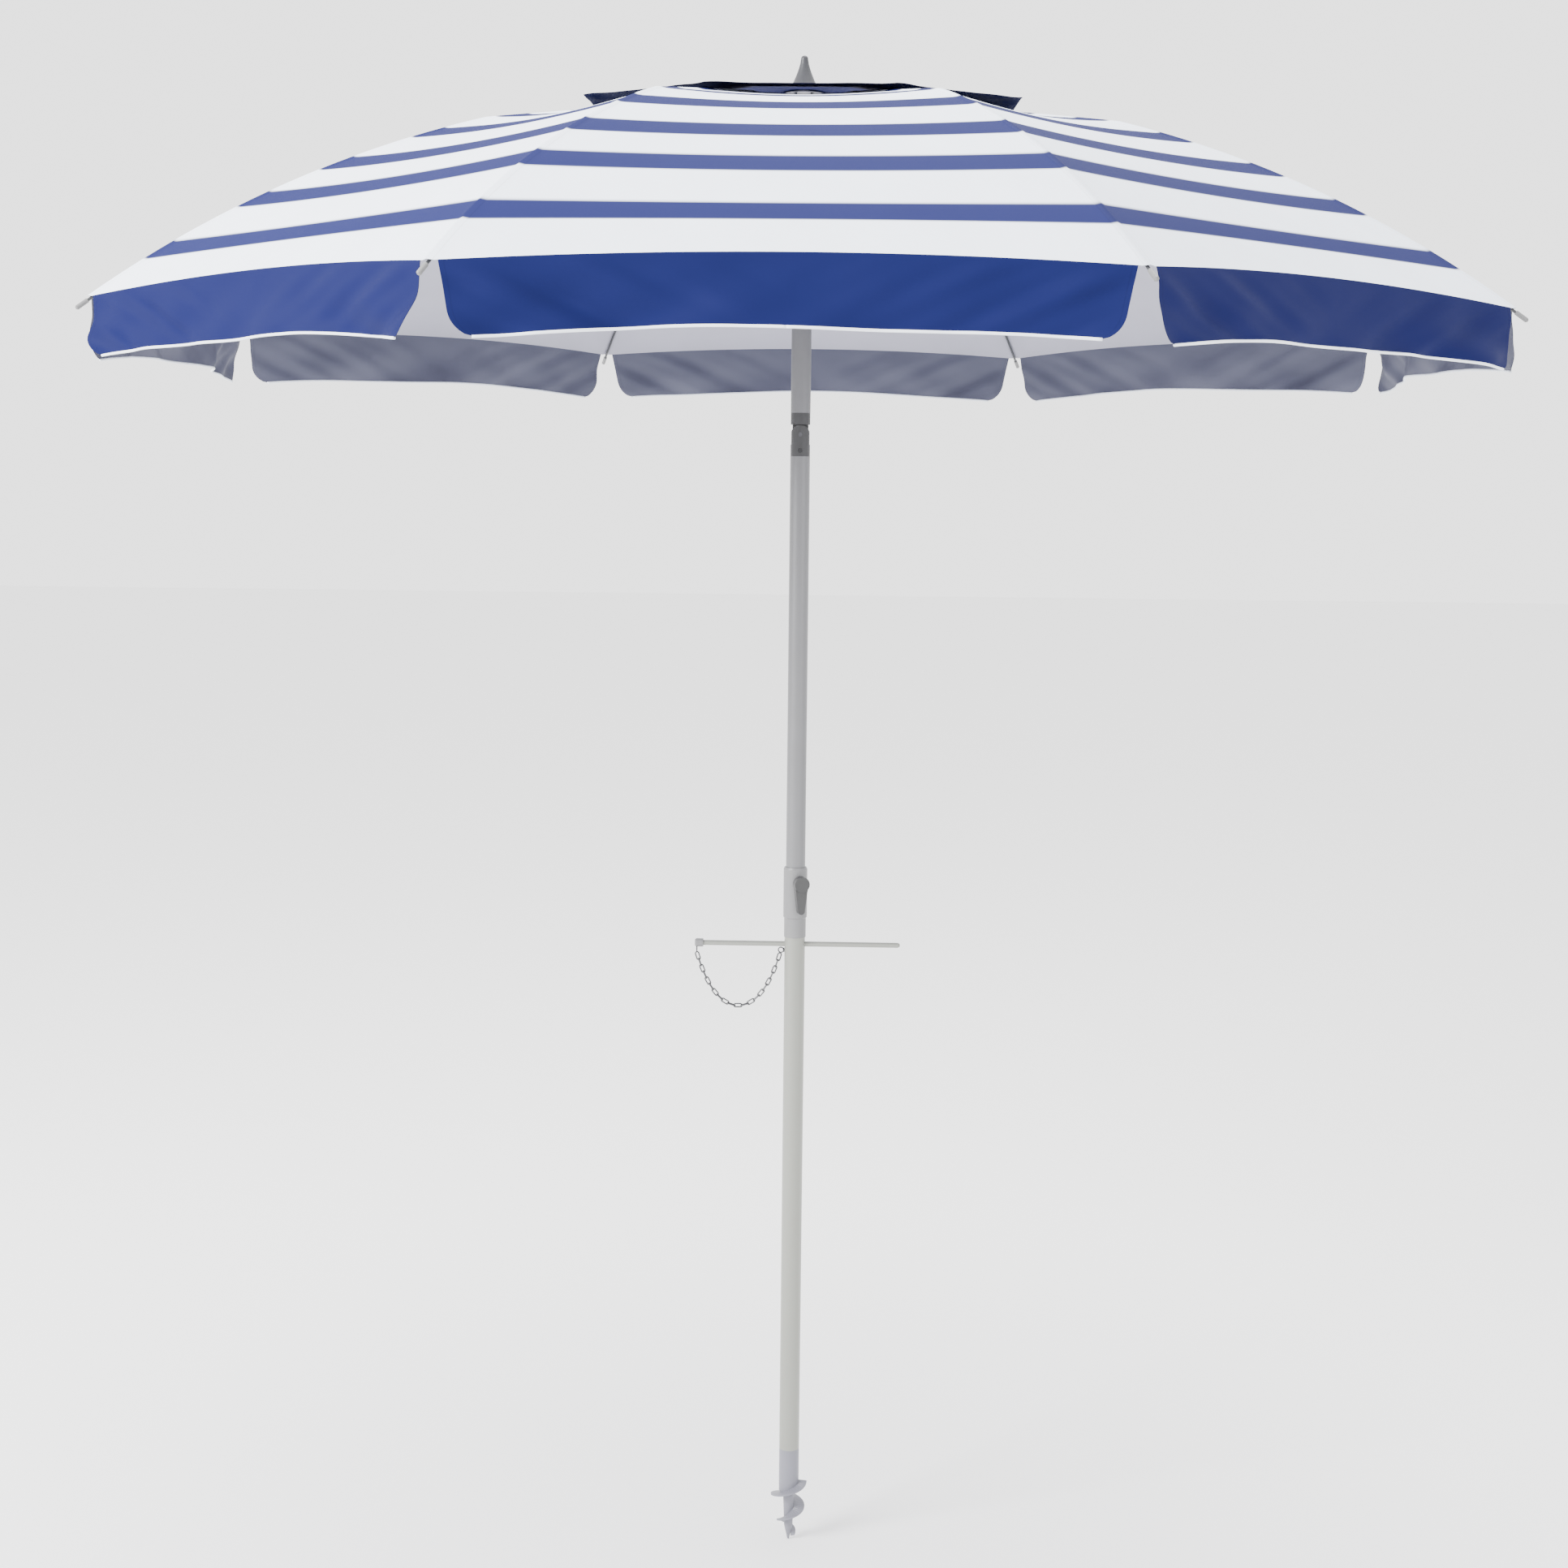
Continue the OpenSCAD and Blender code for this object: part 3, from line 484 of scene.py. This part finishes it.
def fold_with_rib(piece, i):
    """The piece rides on rib i, with a mesh of its own."""
    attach(piece, f"rib_{i}")
    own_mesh(piece)


striped_cloth = cloth_finish("canopy_outside", (0.83, 0.885, 0.985), STRIPES, rough=0.75)
silver_lining = cloth_finish("canopy_lining", (0.33, 0.328, 0.395), rough=0.5)
for i in range(1, 9):
    for k, keep in enumerate(RING_KEEP):
        inner_r, outer_r = RING_CUTS[k] * R, RING_CUTS[k + 1] * R
        depth = outer_r - inner_r
        rows = np.linspace(inner_r, outer_r, max(4, int(depth / ROW_STEP)))
        ring = cloth_piece(f"canopy_{i}_ring_{k + 1}", i, canopy_cloth, rows, COLUMNS, canopy_uv,
                           striped_cloth, silver_lining, face_to=(0, 0, 1))
        if k == 0:
            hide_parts(f"canopy_{i}")
        fold_with_rib(ring, i)

# ---------------------------------------------------------------------------------------------
# Valance: eight navy flaps sewn under the rim, each hanging free between two ribs, with a gap at
# every rib, rounded lower corners, soft folds and a white piped hem. Each flap is two halves,
# one on each of its ribs, that meet at the gore's middle with the same folds.
# ---------------------------------------------------------------------------------------------
VALANCE = 0.082
GAP_TOP, GAP_SPREAD = 0.031, 0.042             # half the gap at a rib, in shares of a half flap
CORNER, CORNER_FROM = 0.068, 0.62              # the rounded corner: its width, where it starts
WAVES = [(0.0052, 5.1, 1.9, 1.7), (0.0036, 9.7, -3.4, 2.9),         # height, across, down, gore
         (0.0042, 7.6, -5.5, 0.8), (0.0022, 17.0, 6.0, 1.0)]
FANS = [(0.0048, 0.31, 0.30, 1.7), (0.0015, 0.17, 0.42, 2.3)]       # height, spacing, slant, gore
FAN_GROWS, FAN_STARTS = 0.4, 0.09
FLARE, DROOP = 0.010, 0.004                    # at the flap's lower corners
HEM_AT, HEM_R, HEM_STEPS = 0.99, 0.0018, 8
NAVY = (0.0061, 0.0085, 0.057)


def half_flap(i, sign):
    """The half flap on one side of rib i, as a function of t, from 0 at the rim to 1 at the hem,
    and q, from 0 at the gap beside the rib to 1 at the gore's middle."""
    gore = (i - 1 if sign < 0 else i) % 8

    def surface(t, q):
        """It hangs straight down from the rim, pushed outwards by a flare that grows to the hem,
        by WAVES, sines that run over the whole flap, and by FANS, slanting sines that start at
        the flap's top corners and die away at its middle."""
        t, q = np.broadcast_arrays(np.asarray(t, float), np.asarray(q, float))
        low = np.clip((t - CORNER_FROM) / (1 - CORNER_FROM), 0, 1)
        gap = GAP_TOP + GAP_SPREAD * t + CORNER * (1 - np.sqrt(1 - (0.999 * low) ** 2))
        w = gap + (1 - gap) * q                 # 0 at the rib, 1 at the gore's middle
        v = -sign * (1 - w)                     # -1 to 1 over the whole flap
        wave = sum(high * np.sin(wide * v + down * t + shift * gore)
                   for high, wide, down, shift in WAVES) * np.abs(t) ** 1.1
        fan = sum(high * np.sin(2 * np.pi * (w - slant * t) / spacing + shift * gore)
                  for high, spacing, slant, shift in FANS)
        grown = 1 - (1 - np.clip(t / FAN_GROWS, 0, 1)) ** 2
        fan = fan * grown * (1 - w) * (1 - np.exp(-w / FAN_STARTS))
        flare = FLARE * t * (1 - w) ** 2 + 0.002 * t + wave + fan
        droop = DROOP * t * (1 - w) ** 3 + 0.0016 * t * np.sin(6.0 * v + 1.3 * gore)
        rim = canopy_cloth(np.full(t.shape, R), w * sign)
        return rim + np.stack([flare * math.cos(HALF), flare * sign * math.sin(HALF),
                               -VALANCE * t - droop], -1)
    return surface


def flap_uv(t, q):
    """Metres along the rim, and depth as a share of R."""
    return q * R * math.sin(HALF), t * VALANCE / R


navy_flap = cloth_finish("valance_blue", NAVY)
# The flaps' lining is the canopy's silver coating, painted about four times darker as shade,
# because it hangs in the flaps' own shadow.
flap_lining_painted_shade = cloth_finish("valance_lining_painted_shade", (0.085, 0.088, 0.125), rough=0.55)
white_hem = cloth_finish("hem_white", (0.80, 0.84, 0.90))
for i in range(1, 9):
    for tag, sign in (("a", -1), ("b", 1)):
        surface = half_flap(i, sign)
        flap = cloth_piece(f"flap_{i}{tag}", i, surface, np.linspace(0, 1, 22),
                           np.linspace(0, 1, 64), flap_uv, navy_flap, flap_lining_painted_shade,
                           face_to=(1, 0, 0))
        path = to_rib(surface(HEM_AT, np.linspace(0, 1, 80)), i)
        along = unit(np.gradient(path, axis=0))
        runs_along_y = np.abs(along[:, 1]).max() >= 0.9
        side = unit(np.cross(along, [0.31, 0.2, 0.93] if runs_along_y else [0.0, 1.0, 0.0]))
        verts, faces = round_bar(path, side, np.cross(along, side), HEM_R, HEM_STEPS, closed=False)
        hem = mesh_object(f"hem_{i}{tag}", verts, faces)
        hem.data.materials.append(white_hem)
        for piece in (flap, hem):
            fold_with_rib(piece, i)

# ---------------------------------------------------------------------------------------------
# Vent cap: a small navy canopy over the vent at the crown, cut as an octagon, clamped under the
# finial and tacked to the ribs. Its edge stands off the cloth, most at the corners left and right.
# ---------------------------------------------------------------------------------------------
CAP_R, CAP_HOLE, CAP_FLAT = 0.340, 0.0105, 0.026
CAP_TOP, CAP_OVER_ROD, CAP_GAP = 0.0089, 0.0028, 0.0098
CAP_BOW, CAP_DIP, CAP_RIPPLE = 0.006, 0.001, 0.0012
CORNER_LIFT = {1: 0.001, 2: 0.013, 3: 0.010, 4: 0.005, 5: 0.005, 6: 0.010, 7: 0.013, 8: 0.001}


def cap_section(i):
    """The vent cap's surface on rib i."""
    def surface(r, s):
        """It is flat under the finial and falls straight to its edge, CAP_GAP over the rods,
        lifted by its corners' CORNER_LIFT, evenly blended between them, with a fine ripple."""
        r, s = np.broadcast_arrays(np.asarray(r, float), np.asarray(s, float))
        beside = np.where(s > 0, CORNER_LIFT[i % 8 + 1], CORNER_LIFT[(i - 2) % 8 + 1])
        lift = CORNER_LIFT[i] + (beside - CORNER_LIFT[i]) * np.abs(s) / 2
        off, t = off_rib(s), r / CAP_R
        bowed = r - CAP_BOW * off * t ** 6
        top = HUB_HEIGHT + CAP_TOP
        edge = rod_height(np.array(CAP_R), CAP_OVER_ROD, CREASE_SOFT) + CAP_GAP
        z = top + (edge - top) * np.maximum(bowed - CAP_FLAT, 0) / (CAP_R - CAP_FLAT)
        z = z - CAP_DIP * off * t ** 2 + lift * t ** 5
        return on_chord(bowed, s, z + CAP_RIPPLE * t ** 3 * (1 - off) * np.sin(9 * s))
    return surface


navy_cap = cloth_finish("cap_blue", NAVY)
for i in range(1, 9):
    cap = cloth_piece(f"vent_cap_{i}", i, cap_section(i), np.linspace(CAP_HOLE, CAP_R, 22),
                      COLUMNS, canopy_uv, navy_cap, navy_cap, face_to=(0, 0, 1))
    fold_with_rib(cap, i)

# ---------------------------------------------------------------------------------------------
# Stage: a pale matt floor just under the auger's tip, a white surround, and three large soft
# lights: a strong one from the front left, a weak one from the right and one overhead.
# ---------------------------------------------------------------------------------------------
FLOOR_SIZE, FLOOR_BELOW, SURROUND = 60, 0.001, 2.6

bpy.ops.mesh.primitive_plane_add(size=FLOOR_SIZE, location=(0, 0, -FLOOR_BELOW))
floor = bpy.context.object
floor.name = "floor"
matt = bpy.data.materials.new("floor")
matt.use_nodes = True
floor_shader = matt.node_tree.nodes["Principled BSDF"]
floor_shader.inputs["Base Color"].default_value = (0.92, 0.92, 0.92, 1)
floor_shader.inputs["Roughness"].default_value = 0.9
floor.data.materials.append(matt)
scene.world = bpy.data.worlds.new("studio")
scene.world.use_nodes = True
surround = scene.world.node_tree.nodes["Background"]
surround.inputs["Color"].default_value = (1, 1, 1, 1)
surround.inputs["Strength"].default_value = SURROUND


def soft_light(name, place, target, size, power):
    """A square area light at place, turned to face target."""
    lamp = bpy.data.lights.new(name, "AREA")
    lamp.shape, lamp.size, lamp.energy = "SQUARE", size, power
    hung = bpy.data.objects.new(name, lamp)
    scene.collection.objects.link(hung)
    way = unit(np.array(target, float) - np.array(place, float))
    hung.location = place
    hung.rotation_euler = (math.acos(-way[2]), 0, math.atan2(way[1], way[0]) - math.pi / 2)


soft_light("key", (-4.2, -3.0, 3.6), (0, 0, 1.8), 2.4, 720)
soft_light("fill", (3.8, -3.6, 2.2), (0, 0, 1.4), 3.0, 40)
soft_light("top", (0.4, 0.8, 5.2), (0, 0, 2.0), 3.0, 200)
